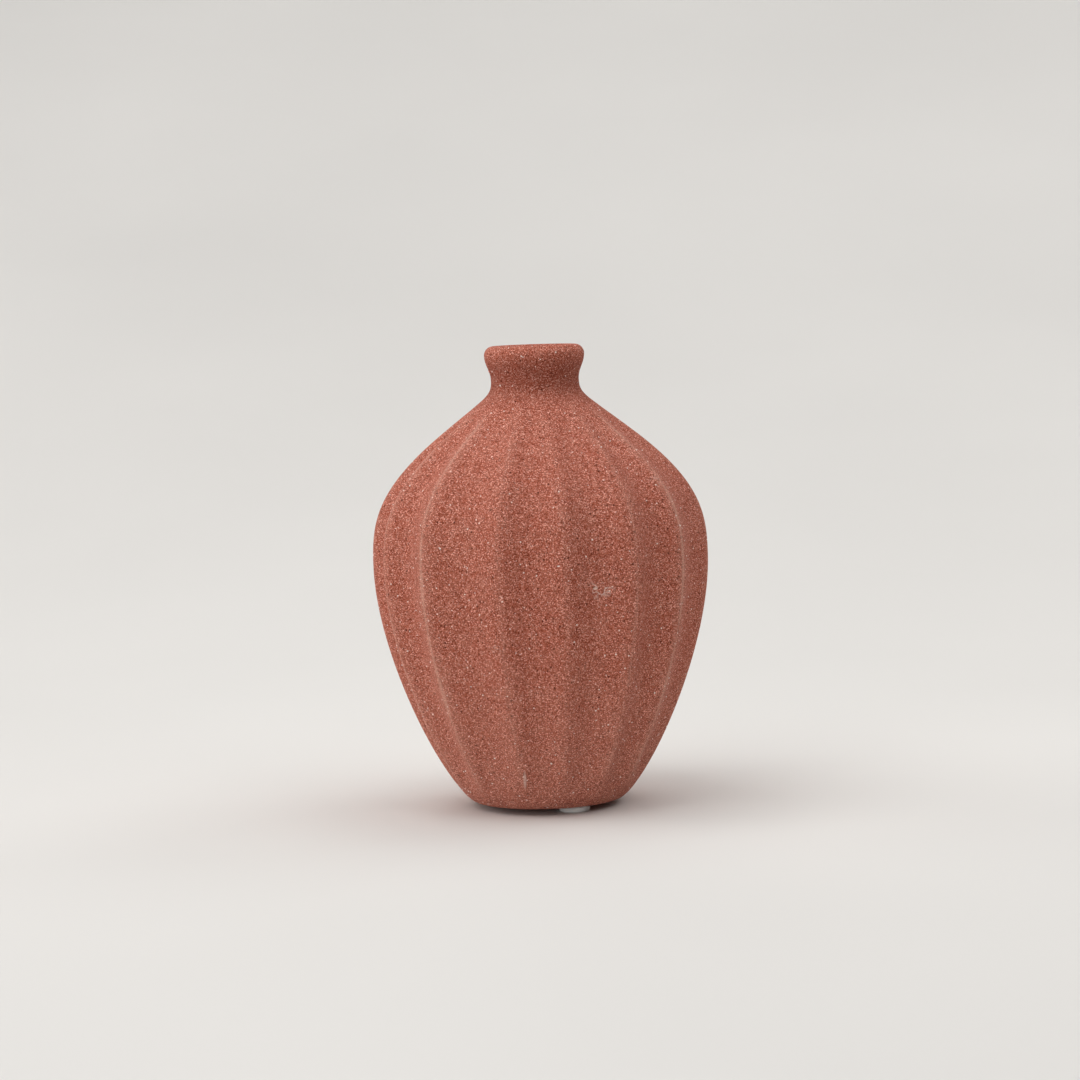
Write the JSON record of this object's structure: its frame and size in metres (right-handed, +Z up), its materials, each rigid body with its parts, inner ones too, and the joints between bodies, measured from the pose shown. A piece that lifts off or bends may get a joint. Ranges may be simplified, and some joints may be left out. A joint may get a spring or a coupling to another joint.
{
  "type": "bud vase",
  "caption": "Small fluted ceramic bud vase with an egg-shaped body, narrow round neck and flared lip, glazed inside and standing on stick-on foam foot pads.",
  "frame": {"origin": "on the vase's vertical axis, at the height of the surface that the foot pads stand on", "axes": "+Z up along the axis, towards the mouth; -Y towards the front of the vase; +X to the viewer's right"},
  "size_m": [0.087, 0.0867, 0.12],
  "materials": {
    "ceramic_body": "matt sanded terracotta red",
    "inner_glaze": "clear gloss glaze over red clay",
    "pad_foam": "matt white foam",
    "pad_adhesive": "translucent adhesive film"
  },
  "bodies": {
    "root": {"vase_body": "ceramic_body", "glaze_lining": "inner_glaze", "foot_pad_1": "pad_foam", "foot_pad_2": "pad_foam", "foot_pad_3": "pad_foam", "pad_adhesive_1": "pad_adhesive", "pad_adhesive_2": "pad_adhesive", "pad_adhesive_3": "pad_adhesive"}
  },
  "joints": []
}
